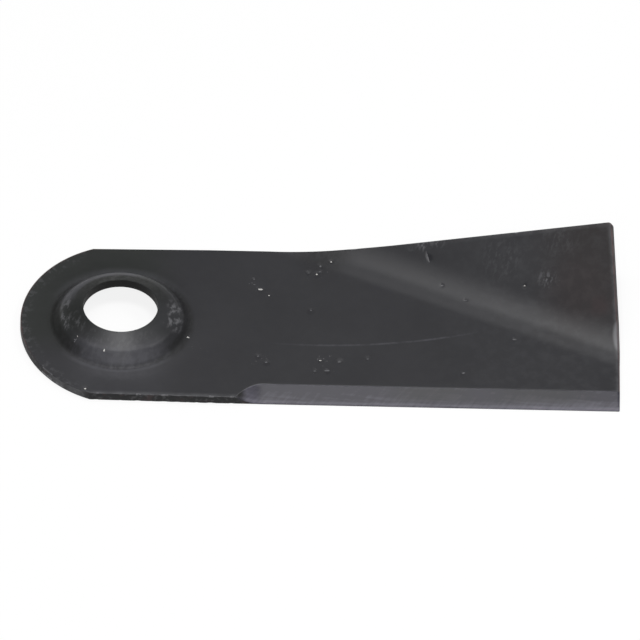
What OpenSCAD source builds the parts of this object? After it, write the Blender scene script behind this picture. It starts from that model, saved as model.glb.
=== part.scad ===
// Rotary mower blade, in millimetres.
// It is one piece of steel plate. A cup is pressed up round the bolt hole at the round end,
// the corner between the trailing edge and the tip is folded up into a wing along a slanting
// line, and the cutting edge is ground to a bevel that starts in the hollow left by the wheel.
// +X runs from the bolt hole to the tip, +Y to the trailing edge and +Z up.
// The origin is the centre of the bolt hole, halfway up its wall.

/* [Plate] */
// Thickness of the plate
plate_thickness = 4.76; // [3.2:0.02:6.4]
// Width between the cutting edge and the trailing edge
plate_width = 108; // [102:0.5:112]
// Distance from the bolt hole's axis to the tip
tip_distance = 255; // [210:1:320]
// Radius of the round end
end_radius = 57; // [56:0.5:66]
// Distance from the bolt hole's axis to the centre of the round end, toward the tip
end_offset = 6; // [0:0.5:7]
// How far the pressing of the cup draws each side in at the round end
side_draw_in = 1.4; // [0.2:0.1:2.4]
// Distance from the bolt hole's axis to where the sides become parallel
draw_in_reach = 45; // [30:1:70]

/* [Bolt hole and cup] */
// Radius of the bolt hole
hole_radius = 19.05; // [12.7:0.05:21]
// Height of the cup's rim above the plate's underside
rim_height = 15.8; // [13.5:0.1:18]
// Width of the level land that blunts the rim
rim_land = 0.4; // [0.1:0.1:1]
// Slope of the cup's crown, in degrees
crown_slope = 25; // [20:0.5:30]
// Radius of the shoulder between the crown and the wall
shoulder_radius = 29.4; // [27:0.1:31]
// Radius of the bend under the shoulder
shoulder_bend = 1; // [0.4:0.1:2]
// Slope of the cup's wall, in degrees
wall_slope = 46; // [40:0.5:55]
// Radius of the bend at the foot of the wall
foot_bend = 3; // [1:0.1:5]
// Slope of the shallow dish where it meets the foot, in degrees
dish_slope = 4.6; // [2:0.1:6]
// Radius at which the dish runs out into the flat plate
dish_radius = 48; // [44:0.5:49.5]

/* [Folded wing] */
// Angle between the fold line and the cutting edge, in degrees
fold_line_angle = 24.5; // [20:0.5:30]
// Distance from the bolt hole's axis to the fold line
fold_distance = 80.6; // [72:0.2:90]
// Inner radius of the tight part of the fold
tight_radius = 28; // [15:0.5:40]
// Angle turned in the tight part, in degrees
tight_angle = 24; // [15:0.5:30]
// Inner radius of the loose part of the fold
loose_radius = 68; // [45:1:80]
// Angle turned in the loose part, in degrees
loose_angle = 11; // [5:0.5:14]
// Radius of the wing's corner at the tip
wing_corner = 2; // [0.5:0.1:8]

/* [Cutting edge] */
// Width of the bevel, seen from above
bevel_width = 10.1; // [6:0.1:14]
// Height of the blunt land left at the cutting edge
edge_land = 0.4; // [0.2:0.1:1.5]
// Distance from the bolt hole's axis to where the bevel reaches its full width
bevel_start = 74; // [68:1:100]
// Radius of the grinding wheel that leaves the hollow at the bevel's start
wheel_radius = 29; // [15:1:40]

/* [Hidden] */
$fn = 64;

half_width = plate_width / 2;
corner_radius = wing_corner;

// Cuts pass this far beyond what they cut, and solids that are joined overlap by it.
lap = plate_thickness / 4;
// A length greater than any across the blade
far_away = tip_distance + plate_width;

// Bolt hole's wall, which runs from under the crown to the rim's land
land_height = rim_height - rim_land * tan(crown_slope);
hole_wall_bottom = rim_height - plate_thickness / cos(crown_slope);
hole_centre_height = (land_height + hole_wall_bottom) / 2;

// Cup, as a section of radius and height. A slope rises toward the axis.
shoulder_height = rim_height - tan(crown_slope) * (shoulder_radius - hole_radius);
shoulder_bend_top = shoulder_bend + plate_thickness;
shoulder_tangent = shoulder_bend_top * tan((wall_slope - crown_slope) / 2);
foot_tangent = foot_bend * tan((wall_slope - dish_slope) / 2);
foot_start = (shoulder_height - plate_thickness
    + tan(wall_slope) * shoulder_radius
    + (tan(wall_slope) * cos(dish_slope) - sin(dish_slope)) * foot_tangent
    - tan(dish_slope / 2) * dish_radius) / (tan(wall_slope) - tan(dish_slope / 2));
dish_bend = (dish_radius - foot_start) / sin(dish_slope);
dish_centre = [dish_radius, plate_thickness + dish_bend];
foot_centre = dish_centre - (dish_bend - foot_bend) * upward(dish_slope);
wall_top = [shoulder_radius, shoulder_height] + shoulder_tangent * [cos(wall_slope), -sin(wall_slope)];
shoulder_centre = wall_top - shoulder_bend_top * upward(wall_slope);
crown_top = [hole_radius - lap, rim_height + tan(crown_slope) * lap];

// Fold. The plate keeps its length along the middle of its thickness.
fold_angle = tight_angle + loose_angle;
tight_middle = tight_radius + plate_thickness / 2;
loose_middle = loose_radius + plate_thickness / 2;
tight_length = tight_middle * tight_angle * PI / 180;
fold_length = tight_length + loose_middle * loose_angle * PI / 180;
tight_steps = 12;
loose_steps = 6;
across_fold = [sin(fold_line_angle), cos(fold_line_angle)];
along_fold = [cos(fold_line_angle), -sin(fold_line_angle)];

// Bevel
bevel_slope = atan((plate_thickness - edge_land) / bevel_width);

// The direction square to a slope
function upward(slope) = [sin(slope), cos(slope)];

// Points on the lower side of an arc, from one slope to another
function hollow_arc(centre, radius, from, to, steps) =
    [for (i = [0:steps]) centre - radius * upward(from + (to - from) * i / steps)];

// Points on the upper side of an arc, from one slope to another
function raised_arc(centre, radius, from, to, steps) =
    [for (i = [0:steps]) centre + radius * upward(from + (to - from) * i / steps)];

// One skin of the cup's section, a depth below the top, from the dish up to the crown
function cup_skin(depth) = concat(
    hollow_arc(dish_centre, dish_bend + depth, 0, dish_slope, 4),
    hollow_arc(foot_centre, foot_bend + depth, dish_slope, wall_slope, 10),
    raised_arc(shoulder_centre, shoulder_bend_top - depth, wall_slope, crown_slope, 4),
    [crown_top - [0, depth / cos(crown_slope)]]);

// How far the fold has turned at a distance past the fold line, in degrees
function turn(d) =
    d <= 0 ? 0
    : d <= tight_length ? d / tight_middle * 180 / PI
    : d <= fold_length ? tight_angle + (d - tight_length) / loose_middle * 180 / PI
    : fold_angle;

// Where the middle of the plate lies at a distance past the fold line: along the flat, and up
function folded_middle(d) =
    let (a = turn(d), t = min(a, tight_angle), l = max(a, tight_angle))
    [min(d, 0), plate_thickness / 2]
    + tight_middle * [sin(t), 1 - cos(t)]
    + loose_middle * [sin(l) - sin(tight_angle), cos(tight_angle) - cos(l)]
    + max(d - fold_length, 0) * [cos(a), sin(a)];

// A point of the folded section, from its distance past the fold line and its height above
// the plate's middle
function folded_section(d, h) = folded_middle(d) + h * [-sin(turn(d)), cos(turn(d))];

// The same point at a distance along the fold line, as a place in the whole blade
function folded_place(d, s, h) =
    let (m = folded_section(d, h),
         p = (fold_distance + m[0]) * across_fold + s * along_fold)
    [p[0], p[1], m[1]];

// Where the line at distance d past the fold line leaves the flat plate, at the trailing edge
// and at the tip, either side of the wing's rounded corner
corner_centre = [tip_distance - corner_radius, half_width - corner_radius];
corner_past = corner_centre * across_fold - fold_distance;
function half_chord(d) = sqrt(max(corner_radius * corner_radius - (d - corner_past) * (d - corner_past), 0));
function trailing_end(d) =
    d > corner_past + corner_radius * cos(fold_line_angle)
    ? corner_centre * along_fold - half_chord(d)
    : ((fold_distance + d) * cos(fold_line_angle) - half_width) / sin(fold_line_angle);
function tip_end(d) =
    d > corner_past + corner_radius * sin(fold_line_angle)
    ? corner_centre * along_fold + half_chord(d)
    : (tip_distance - (fold_distance + d) * sin(fold_line_angle)) / cos(fold_line_angle);

// Distances past the fold line at which the wing's walls are drawn
wall_lines = concat(
    [-3 * lap, -lap],
    [for (i = [0:tight_steps - 1]) tight_length * (i + 0.5) / tight_steps],
    [for (i = [0:loose_steps - 1]) tight_length + (fold_length - tight_length) * (i + 0.5) / loose_steps],
    [fold_length + lap],
    [for (a = [fold_line_angle, 45, 90 - fold_line_angle, 80]) corner_past + corner_radius * sin(a)]);

// The flat plate's outline, between the round end and the fold line
module flat_outline() {
    fold_end = fold_distance - 2 * lap;
    taper_end = -far_away;
    taper = side_draw_in / (draw_in_reach + end_radius - end_offset);
    narrow_half = half_width - taper * (draw_in_reach - taper_end);
    intersection() {
        polygon([
            [taper_end, -narrow_half],
            [draw_in_reach, -half_width],
            [tip_distance, -half_width],
            [tip_distance, (fold_end - tip_distance * across_fold[0]) / across_fold[1]],
            [(fold_end - half_width * across_fold[1]) / across_fold[0], half_width],
            [draw_in_reach, half_width],
            [taper_end, narrow_half]]);
        union() {
            translate([end_offset, 0]) circle(end_radius);
            translate([end_offset, -plate_width]) square([far_away, 2 * plate_width]);
        }
    }
}

// Walls of the folded part: they stay square to the plate as it turns
module wing_walls() {
    low = -plate_thickness / 2 - lap;
    high = plate_thickness / 2 + lap;
    count = len(wall_lines);
    points = [for (d = wall_lines)
        for (corner = [[trailing_end(d), low], [trailing_end(d), high], [tip_end(d), high], [tip_end(d), low]])
            folded_place(d, corner[0], corner[1])];
    sides = [for (i = [0:count - 2])
        for (k = [0:3])
            [4 * i + k, 4 * i + 4 + k, 4 * i + 4 + (k + 1) % 4, 4 * i + (k + 1) % 4]];
    polyhedron(points, concat([[0, 1, 2, 3]], sides, [[for (k = [3:-1:0]) 4 * (count - 1) + k]]));
}

// The plate's section square to the fold line, from the flat through the fold to the wing
module plate_section() {
    lines = concat(
        [-far_away],
        [for (i = [0:tight_steps]) tight_length * i / tight_steps],
        [for (i = [1:loose_steps]) tight_length + (fold_length - tight_length) * i / loose_steps],
        [far_away]);
    half = plate_thickness / 2;
    polygon(concat(
        [for (d = lines) folded_section(d, -half)],
        [for (i = [len(lines) - 1:-1:0]) folded_section(lines[i], half)]));
}

// The pressed cup, as far out as the flat plate
module cup() {
    outer = dish_radius + lap;
    rotate_extrude()
        intersection() {
            polygon(concat(
                [[outer, 0], [outer, plate_thickness]],
                cup_skin(0),
                [for (i = [len(cup_skin(0)) - 1:-1:0]) cup_skin(plate_thickness)[i]]));
            translate([0, -lap]) square([2 * outer, land_height + lap]);
        }
}

// The plate after both pressings, before its outline: X along the fold line, Y across it
module pressed_plate() {
    difference() {
        translate([-far_away, fold_distance, 0])
            rotate([90, 0, 90])
                linear_extrude(2 * far_away) plate_section();
        translate([0, 0, -lap]) cylinder(r = dish_radius, h = plate_thickness + 2 * lap);
    }
    cup();
}

// What the grinding wheel takes away: a straight pass with a round start
module bevel_cut() {
    slope_length = bevel_width / cos(bevel_slope);
    translate([bevel_start, bevel_width - half_width, plate_thickness])
        rotate([bevel_slope, 0, 0])
            translate([0, 2 * lap, 0])
                rotate([90, 0, 0])
                    linear_extrude(slope_length + 4 * lap) {
                        square([far_away, 2 * wheel_radius]);
                        translate([0, wheel_radius]) circle(wheel_radius);
                    }
}

module blade() {
    color("#3a3b3d")
        translate([0, 0, -hole_centre_height])
            difference() {
                intersection() {
                    rotate([0, 0, -fold_line_angle]) pressed_plate();
                    union() {
                        translate([0, 0, -lap]) linear_extrude(rim_height + 2 * lap) flat_outline();
                        wing_walls();
                    }
                }
                translate([0, 0, -lap]) cylinder(r = hole_radius, h = rim_height + 2 * lap);
                bevel_cut();
            }
}

blade();
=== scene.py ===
"""Rotary mower blade: the pressed and ground steel plate, its stage and its camera.

The blade is built flat, with its cup, sheared edges, bevel, chips and nicks, and is then folded.
Lengths in the code are millimetres until they are put on a mesh, and heights are above the plate's underside.
"""

import math
import random
from functools import partial

import bpy
import numpy as np
from bpy.props import FloatProperty, FloatVectorProperty, IntProperty, PointerProperty
from mathutils import Matrix, Vector, kdtree
from mathutils.geometry import delaunay_2d_cdt


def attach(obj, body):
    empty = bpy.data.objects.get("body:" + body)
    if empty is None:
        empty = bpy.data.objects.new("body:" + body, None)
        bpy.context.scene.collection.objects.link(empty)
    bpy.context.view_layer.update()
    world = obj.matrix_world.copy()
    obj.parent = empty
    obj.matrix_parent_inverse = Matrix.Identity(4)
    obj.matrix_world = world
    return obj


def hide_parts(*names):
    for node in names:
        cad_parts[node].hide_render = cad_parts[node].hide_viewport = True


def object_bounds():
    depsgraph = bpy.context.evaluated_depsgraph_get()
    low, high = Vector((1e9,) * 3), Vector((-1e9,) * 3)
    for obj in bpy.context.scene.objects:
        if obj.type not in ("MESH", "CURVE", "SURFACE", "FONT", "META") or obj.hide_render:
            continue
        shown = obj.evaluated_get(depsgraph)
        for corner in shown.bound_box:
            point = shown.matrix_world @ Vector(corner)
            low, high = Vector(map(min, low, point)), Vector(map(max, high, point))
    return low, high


bl_info = {
    "name": "Rotary mower blade",
    "version": (1, 0, 0),
    "blender": (4, 5, 0),
    "location": "3D View > Sidebar > Mower Blade",
    "description": "Builds a pressed and ground rotary mower blade and a plain studio round it",
    "category": "Mesh",
}

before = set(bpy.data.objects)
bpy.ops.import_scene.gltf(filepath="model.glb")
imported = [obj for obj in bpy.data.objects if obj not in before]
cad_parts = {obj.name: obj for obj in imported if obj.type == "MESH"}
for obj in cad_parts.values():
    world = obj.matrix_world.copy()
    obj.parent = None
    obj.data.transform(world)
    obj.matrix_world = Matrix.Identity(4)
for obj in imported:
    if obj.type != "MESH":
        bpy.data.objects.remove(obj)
cad_low, cad_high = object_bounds()

MM = 0.001
UNDERSIDE = cad_low[2]
# The floor lies a hair below the blade, so that no two faces share a plane.
FLOOR = UNDERSIDE - 0.1 * MM

# Kinds of surface on the blade, kept on its faces as the attribute "surface"
ENAMEL, GROUND, SHEARED, BARE, RUBBED = range(5)


def linear(hex_colour):
    """Turns an sRGB hex colour to the linear red, green, blue and alpha that Blender uses."""
    parts = [int(hex_colour[i:i + 2], 16) / 255 for i in (1, 3, 5)]
    return tuple(c / 12.92 if c <= 0.04045 else ((c + 0.055) / 1.055) ** 2.4 for c in parts) + (1.0,)


def length(name, description, millimetres):
    return FloatProperty(
        name=name, description=description, default=millimetres * MM,
        unit="LENGTH", subtype="DISTANCE", precision=5)


def angle(name, description, degrees):
    return FloatProperty(
        name=name, description=description, default=math.radians(degrees), unit="ROTATION", subtype="ANGLE")


def colour(name, description, hex_colour):
    return FloatVectorProperty(
        name=name, description=description, default=linear(hex_colour), size=4, min=0, max=1, subtype="COLOR")


class BladeSizes(bpy.types.PropertyGroup):
    """Sizes of the blade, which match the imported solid."""
    thickness: length("Plate thickness", "Thickness of the steel plate", 4.76)
    width: length("Plate width", "Distance between the cutting edge and the trailing edge", 108)
    tip_distance: length("Tip distance", "From the bolt hole's axis to the tip", 255)
    end_radius: length("Round end radius", "Radius of the round end", 57)
    end_offset: length("Round end offset", "From the bolt hole's axis to the round end's centre", 6)
    side_draw_in: length("Side draw-in", "How far each side is drawn in at the round end", 1.4)
    draw_in_reach: length("Draw-in reach", "From the bolt hole's axis to where the sides become parallel", 45)
    hole_radius: length("Bolt hole radius", "Radius of the bolt hole", 19.05)
    rim_height: length("Rim height", "Height of the cup's rim above the underside", 15.8)
    crown_slope: angle("Crown slope", "Slope of the cup's crown", 25)
    shoulder_radius: length("Shoulder radius", "Radius of the shoulder between the crown and the wall", 29.4)
    shoulder_bend: length("Shoulder bend", "Bend radius under the shoulder", 1)
    wall_slope: angle("Wall slope", "Slope of the cup's wall", 46)
    foot_bend: length("Foot bend", "Bend radius at the foot of the wall", 3)
    dish_slope: angle("Dish slope", "Slope of the dish where it meets the foot", 4.6)
    dish_radius: length("Dish radius", "Radius at which the dish runs out into the plate", 48)
    fold_line_angle: angle("Fold line angle", "Angle between the fold line and the cutting edge", 24.5)
    fold_distance: length("Fold distance", "From the bolt hole's axis to the fold line", 80.6)
    tight_radius: length("Tight radius", "Inner radius of the tight part of the fold", 28)
    tight_angle: angle("Tight angle", "Angle turned in the tight part of the fold", 24)
    loose_radius: length("Loose radius", "Inner radius of the loose part of the fold", 68)
    loose_angle: angle("Loose angle", "Angle turned in the loose part of the fold", 11)
    wing_corner: length("Wing corner", "Radius of the wing's corner at the tip", 2)
    bevel_width: length("Bevel width", "Width of the ground bevel, seen from above", 10.1)
    edge_land: length("Edge land", "Height of the blunt land at the cutting edge", 0.4)
    bevel_start: length("Bevel start", "From the bolt hole's axis to where the bevel has its full width", 74)
    wheel_radius: length("Wheel radius", "Radius of the grinding wheel at the bevel's start", 29)
    edge_round: length("Edge rounding", "Radius worn on the sheared edges", 0.3)
    tip_round: length("Tip rounding", "Radius worn on the edge at the tip", 0.8)
    rim_round: length("Rim rounding", "Radius worn on the edge of the bolt hole", 0.3)
    crease_round: length("Crease rounding", "Half width of the softened line above the bevel", 0.25)


class BladeFinish(bpy.types.PropertyGroup):
    """Colours and wear of the blade."""
    enamel: colour("Enamel", "Black enamel on the rolled skins", "#2b2b2e")
    root_enamel: colour("Root enamel", "Enamel left thick round the far side of the cup", "#252726")
    wing_enamel: colour("Wing enamel", "Enamel browned a little near the tip", "#282526")
    # This colour is also laid as a painted highlight on the cup's near side and shoulders.
    haze_and_highlight: colour("Haze", "Enamel rubbed grey on the near side of the cup", "#4d4d52")
    ground: colour("Ground steel", "Film on the ground bevel, where it is darkest", "#22202c")
    honed: colour("Honed steel", "Film on the ground bevel, worn thin towards the cutting edge", "#605e69")
    sheared: colour("Sheared edge", "Black film on the sheared walls", "#262627")
    bare: colour("Bare steel", "Steel and grey scale that shows where the enamel is chipped", "#cccac6")
    rubbed: colour("Rubbed enamel", "Enamel worn thin, short of the steel", "#67676a")
    rust: colour("Rust", "Thin brown rust on worn enamel", "#574443")
    stain: colour("Stain", "Brown stain in the enamel near the tip", "#352b2c")
    # This colour also lays painted shade in the cup's hollows, on the bolt hole's wall and in the wheel's
    # hollow on the bevel.
    dirt_and_shade: colour("Dirt", "Dull dirt that stays in the cup's hollows", "#131312")
    wear_seed: IntProperty(
        name="Wear seed", description="Seed for the outlines of the chips", default=7, min=0)


class StageSettings(bpy.types.PropertyGroup):
    """The camera and the light of the studio."""
    elevation: angle("Camera elevation", "Height of the camera above the level", 43.826)
    azimuth: angle("Camera azimuth", "Turn of the camera round the blade", -0.785)
    roll: angle("Camera roll", "Turn of the camera about its own axis", 1.745)
    distance: length("Camera distance", "From the camera to the blade", 10000)
    view_width: length("View width", "Width of the picture at the blade", 326.784)
    aim_right: length("Aim right", "From the bolt hole's axis to the picture's middle, rightwards", 101.885)
    aim_up: length("Aim up", "From the bolt hole's axis to the picture's middle, upwards", 7.09)
    floor: colour("Floor", "Matt white floor", "#fbfbfb")


# Kinds of node that are used most, and the two ways that a ramp rises

MATHS, VECTORS, RANGE = "ShaderNodeMath", "ShaderNodeVectorMath", "ShaderNodeMapRange"
NOISE, MAPPING, MIX = "ShaderNodeTexNoise", "ShaderNodeMapping", "ShaderNodeMix"
ATTRIBUTE, SEPARATE, SHADER = "ShaderNodeAttribute", "ShaderNodeSeparateXYZ", "ShaderNodeBsdfPrincipled"
SOFT, EVEN = "SMOOTHSTEP", "LINEAR"


def add(tree, kind, inputs=(), **settings):
    """Adds a node with its settings, and fills its inputs, by place or name, from values or from nodes."""
    node = tree.nodes.new(kind)
    for name, value in settings.items():
        setattr(node, name, value)
    for key, value in inputs.items() if isinstance(inputs, dict) else enumerate(inputs):
        if isinstance(value, bpy.types.Node):
            value = next(socket for socket in value.outputs if socket.enabled)
        if isinstance(value, bpy.types.NodeSocket):
            tree.links.new(value, node.inputs[key])
        else:
            node.inputs[key].default_value = value
    return node


# Outline of the flat plate. The tip's corner at the cutting edge is barely rounded.

TOE_RADIUS = 0.6


def outline(size, step):
    """Points round the flat plate, anticlockwise from above, and the outward direction at each."""
    half = size["width"] / 2
    tip = size["tip_distance"]
    radius = size["end_radius"]
    centre = size["end_offset"]
    taper = size["side_draw_in"] / (size["draw_in_reach"] + radius - centre)

    def side(x):
        return half - taper * max(size["draw_in_reach"] - x, 0)

    # Where the drawn-in sides meet the round end, found by repeating
    meet = -30.0
    for _ in range(60):
        meet = centre - math.sqrt(radius ** 2 - side(meet) ** 2)
    corner = size["wing_corner"]
    turns = [
        (meet, -side(meet)), (size["draw_in_reach"], -half), (tip - TOE_RADIUS, -half),
        (tip, -half + TOE_RADIUS), (tip, half - corner)]
    points = []

    def line(a, b):
        count = max(int(math.dist(a, b) / step), 1)
        for share in (i / count for i in range(count)):
            points.append((a[0] + (b[0] - a[0]) * share, a[1] + (b[1] - a[1]) * share))

    def arc(middle, r, start, end, count):
        for i in range(count):
            t = start + (end - start) * i / count
            points.append((middle[0] + r * math.cos(t), middle[1] + r * math.sin(t)))

    line(turns[0], turns[1])
    line(turns[1], turns[2])
    arc((tip - TOE_RADIUS, -half + TOE_RADIUS), TOE_RADIUS, -math.pi / 2, 0, 5)
    line(turns[3], turns[4])
    arc((tip - corner, half - corner), corner, 0, math.pi / 2, 9)
    line((tip - corner, half), (size["draw_in_reach"], half))
    line((size["draw_in_reach"], half), (meet, side(meet)))
    start = math.atan2(side(meet), meet - centre)
    arc((centre, 0), radius, start, 2 * math.pi - start, int(radius * 2 * (math.pi - start) / step))
    points = np.array(points)
    along = np.roll(points, -1, 0) - np.roll(points, 1, 0)
    along /= np.linalg.norm(along, axis=1)[:, None]
    return points, np.column_stack([along[:, 1], -along[:, 0]])


# Ground bevel


def bevel_steepness(size):
    """How far the bevel falls for each millimetre across it."""
    return (size["thickness"] - size["edge_land"]) / size["bevel_width"]


def bevel_lift(x, size):
    """How far the wheel's hollow stands above the bevel's plane, square to it, at places along the blade."""
    back = np.clip(size["bevel_start"] - x, 0, size["wheel_radius"])
    return size["wheel_radius"] - np.sqrt(size["wheel_radius"] ** 2 - back ** 2)


def crease_height(x, y, size):
    """How far the ground bevel's surface, carried on, stands above the plate's flat top."""
    slope = math.atan(bevel_steepness(size))
    crease = size["bevel_width"] - size["width"] / 2
    return (y - crease) * math.tan(slope) + bevel_lift(x, size) / math.cos(slope)


def top_height(x, y, size):
    """Height of the flat plate's top with its bevel, softened along the crease."""
    top = size["thickness"]
    slope = math.atan(bevel_steepness(size))
    ground = top + crease_height(x, y, size)
    soft = 2 * size["crease_round"] * math.tan(slope)
    near = np.clip(soft - np.abs(ground - top), 0, None) / soft
    return np.minimum(ground, top) - near ** 2 * soft / 4


def crease_rows(size):
    """Rows along and either side of the line where the bevel leaves the plate's top."""
    slope = math.atan(bevel_steepness(size))
    level = size["bevel_width"] - size["width"] / 2
    edge_lift = size["bevel_width"] * math.sin(slope)
    wheel = size["wheel_radius"]
    first = size["bevel_start"] - math.sqrt(wheel ** 2 - (wheel - edge_lift) ** 2)
    x = np.concatenate([
        np.linspace(first - 1.5, size["bevel_start"], 36),
        np.arange(size["bevel_start"] + 2, size["tip_distance"] + 4, 2)])
    line = np.column_stack([x, level - bevel_lift(x, size) / math.sin(slope)])
    along = np.gradient(line, axis=0)
    along /= np.linalg.norm(along, axis=1)[:, None]
    across = np.column_stack([-along[:, 1], along[:, 0]])
    c = size["crease_round"]
    return [line + across * shift for shift in (-5 * c, -2 * c, -c, 0, c, 2 * c, 5 * c)]


# Cup


def cup_section(size):
    """The cup's skin as rows of radius and height, from the dish's edge over the rim and back underneath.

    Also gives which of the bands between the rows are the bolt hole's wall.
    """
    top = size["thickness"]
    crown, wall, dish = size["crown_slope"], size["wall_slope"], size["dish_slope"]
    hole = size["hole_radius"]
    shoulder = size["shoulder_radius"]
    shoulder_height = size["rim_height"] - math.tan(crown) * (shoulder - hole)
    shoulder_bend = size["shoulder_bend"] + top
    shoulder_tangent = shoulder_bend * math.tan((wall - crown) / 2)
    foot = size["foot_bend"]
    foot_tangent = foot * math.tan((wall - dish) / 2)
    rise = math.tan(dish / 2)
    foot_start = (shoulder_height - top + math.tan(wall) * shoulder
                  + (math.tan(wall) * math.cos(dish) - math.sin(dish)) * foot_tangent
                  - rise * size["dish_radius"]) / (math.tan(wall) - rise)
    dish_bend = (size["dish_radius"] - foot_start) / math.sin(dish)

    def up(slope):
        return np.array([math.sin(slope), math.cos(slope)])

    dish_centre = np.array([size["dish_radius"], top + dish_bend])
    foot_centre = dish_centre - (dish_bend - foot) * up(dish)
    down_wall = np.array([math.cos(wall), -math.sin(wall)])
    wall_top = np.array([shoulder, shoulder_height]) + shoulder_tangent * down_wall
    shoulder_centre = wall_top - shoulder_bend * up(wall)

    def skin(depth):
        rows = [dish_centre - (dish_bend + depth) * up(a) for a in np.linspace(0, dish, 11)]
        rows += [foot_centre - (foot + depth) * up(a) for a in np.linspace(dish, wall, 12)]
        last = rows[-1]
        first = shoulder_centre + (shoulder_bend - depth) * up(wall)
        rows += [last + (first - last) * f for f in (0.08, 0.25, 0.42, 0.58, 0.75, 0.92)]
        rows += [shoulder_centre + (shoulder_bend - depth) * up(a) for a in np.linspace(wall, crown, 9)]
        return rows

    def crown_point(radius, depth):
        height = size["rim_height"] - math.tan(crown) * (radius - hole)
        return np.array([radius, height - depth / math.cos(crown)])

    rim = size["rim_round"]
    upper = skin(0)
    upper += [crown_point(r, 0) for r in np.linspace(shoulder - 2.2, hole + rim + 0.5, 9)]
    # The rim's edge is blunted by a quarter turn from the crown to the hole's wall.
    start = crown_point(hole + rim, 0)
    corner = crown_point(hole, 0) - [0, 0.1]
    for f in np.linspace(0, 1, 7):
        end = corner - [0, rim]
        upper.append(start * (1 - f) ** 2 + corner * 2 * f * (1 - f) + end * f ** 2)
    # The rim's edge underneath is barely blunted.
    lower_edge = crown_point(hole, top)
    bore_start = len(upper) - 1
    upper += [np.array([hole, corner[1] + (lower_edge[1] - corner[1]) * f]) for f in (0.25, 0.5, 0.75, 0.92)]
    lower = skin(top)
    lower += [crown_point(r, top) for r in np.linspace(shoulder - 3.8, hole + 0.6, 4)]
    lower += [lower_edge + [0.15, -0.04]]
    return np.array(upper + lower[::-1]), range(bore_start, len(upper))


# Chips in the enamel: place in the flat plate, length, width, turn in degrees, what shows

CHIPS = [
    (71.4, 25.5, 3.0, 1.4, -4, BARE), (75.8, 21.2, 0.9, 0.8, 30, BARE), (68.0, 32.8, 1.2, 0.9, 0, RUBBED),
    (107.6, 46.8, 1.1, 0.8, 10, BARE), (102.0, 43.5, 1.5, 1.1, 60, RUBBED), (100.1, 37.5, 1.0, 0.9, 0, BARE),
    (101.6, 39.4, 1.3, 0.9, 0, RUBBED), (95.8, 38.4, 1.1, 0.8, 0, RUBBED), (97.4, 10.8, 1.1, 0.9, 0, RUBBED),
    (102.4, -25.9, 1.3, 0.8, 15, BARE), (111.9, -26.6, 1.9, 1.0, 0, RUBBED),
    (74.8, -28.1, 1.5, 0.9, 0, RUBBED), (126.4, -24.2, 1.5, 0.9, 25, RUBBED),
    (207.7, 25.3, 0.8, 0.8, 0, BARE), (176.9, 19.7, 1.6, 0.9, 0, RUBBED), (165.0, 29.4, 1.3, 0.8, 0, RUBBED),
    (201.3, -7.5, 2.4, 1.0, -5, RUBBED), (175.1, -32.9, 1.6, 1.0, 0, RUBBED),
    (219.4, 27.0, 1.9, 1.0, 70, RUBBED), (158.1, 46.1, 6.0, 0.6, -77, RUBBED),
    (-17.1, -50.2, 1.3, 0.8, 0, BARE), (70.5, -23.8, 1.0, 0.7, 0, RUBBED),
    (105.9, -33.4, 2.6, 0.9, 5, RUBBED), (99.6, -33.8, 1.6, 1.0, 20, RUBBED),
    (35.0, -11.6, 1.5, 1.1, 0, BARE), (-22.6, -20.2, 1.5, 1.2, 0, RUBBED), (-21.4, -18.6, 0.9, 0.9, 0, BARE),
    (-8.0, -28.1, 1.0, 1.0, 0, BARE)]

CHIP_DEPTH = 0.07
CHIP_CORNERS = 11
# A chip's floor is this share of its width.
CHIP_FLOOR = 0.72

# Knocks on the top edge: place, length, depth, what shows

KNOCKS = [
    (-11.4, -54, 3.2, 0.4, RUBBED), (0.8, -54, 2.4, 0.4, RUBBED), (9.7, -54, 3.4, 0.45, RUBBED),
    (16.5, -54, 2.0, 0.15, RUBBED), (23.2, -54, 4.4, 0.35, RUBBED), (29.8, -54, 3.4, 0.25, RUBBED),
    (35.2, -54, 2.0, 0.2, RUBBED), (39.8, -54, 1.8, 0.45, RUBBED), (46.8, -54, 4.4, 0.45, RUBBED),
    (57.4, -54, 2.4, 0.4, RUBBED),
    (205.3, 54, 4.0, 0.3, RUBBED), (120.0, 54, 5.0, 0.2, RUBBED), (255, -8.0, 17.0, 0.5, ENAMEL),
    (-36.8, -37.5, 9.0, 0.1, RUBBED)]

# Rubbed runs on the bottom edge: place and length

RUBBED_RUNS = [(-37.0, -37.0, 8.5), (-31.0, -43.5, 4.0)]

# Length over which the edges' rounding grows to the tip's, the share of the wall's height that rounding
# takes at most, and the share of a knock's length that shows

TIP_BLEND = 2.5
MOST_ROUNDED = 0.42
KNOCK_SHOWN = 0.8


def edge_wear(edge, size):
    """How far each point of the outline is rounded, and what shows on its top and its bottom edge."""
    tip = np.clip((edge[:, 0] - size["tip_distance"] + TIP_BLEND) / TIP_BLEND, 0, 1)
    rounding = size["edge_round"] + (size["tip_round"] - size["edge_round"]) * tip * tip * (3 - 2 * tip)
    upper = np.full(len(edge), ENAMEL)
    lower = np.full(len(edge), SHEARED)
    for x, y, run, depth, kind in KNOCKS:
        away = np.hypot(edge[:, 0] - x, edge[:, 1] - y) / (run / 2)
        rounding = rounding + depth * np.clip(1 - away ** 2, 0, 1)
        upper[away < KNOCK_SHOWN] = kind
    for x, y, run in RUBBED_RUNS:
        lower[np.hypot(edge[:, 0] - x, edge[:, 1] - y) < run / 2] = RUBBED
    return rounding, upper, lower


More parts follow.
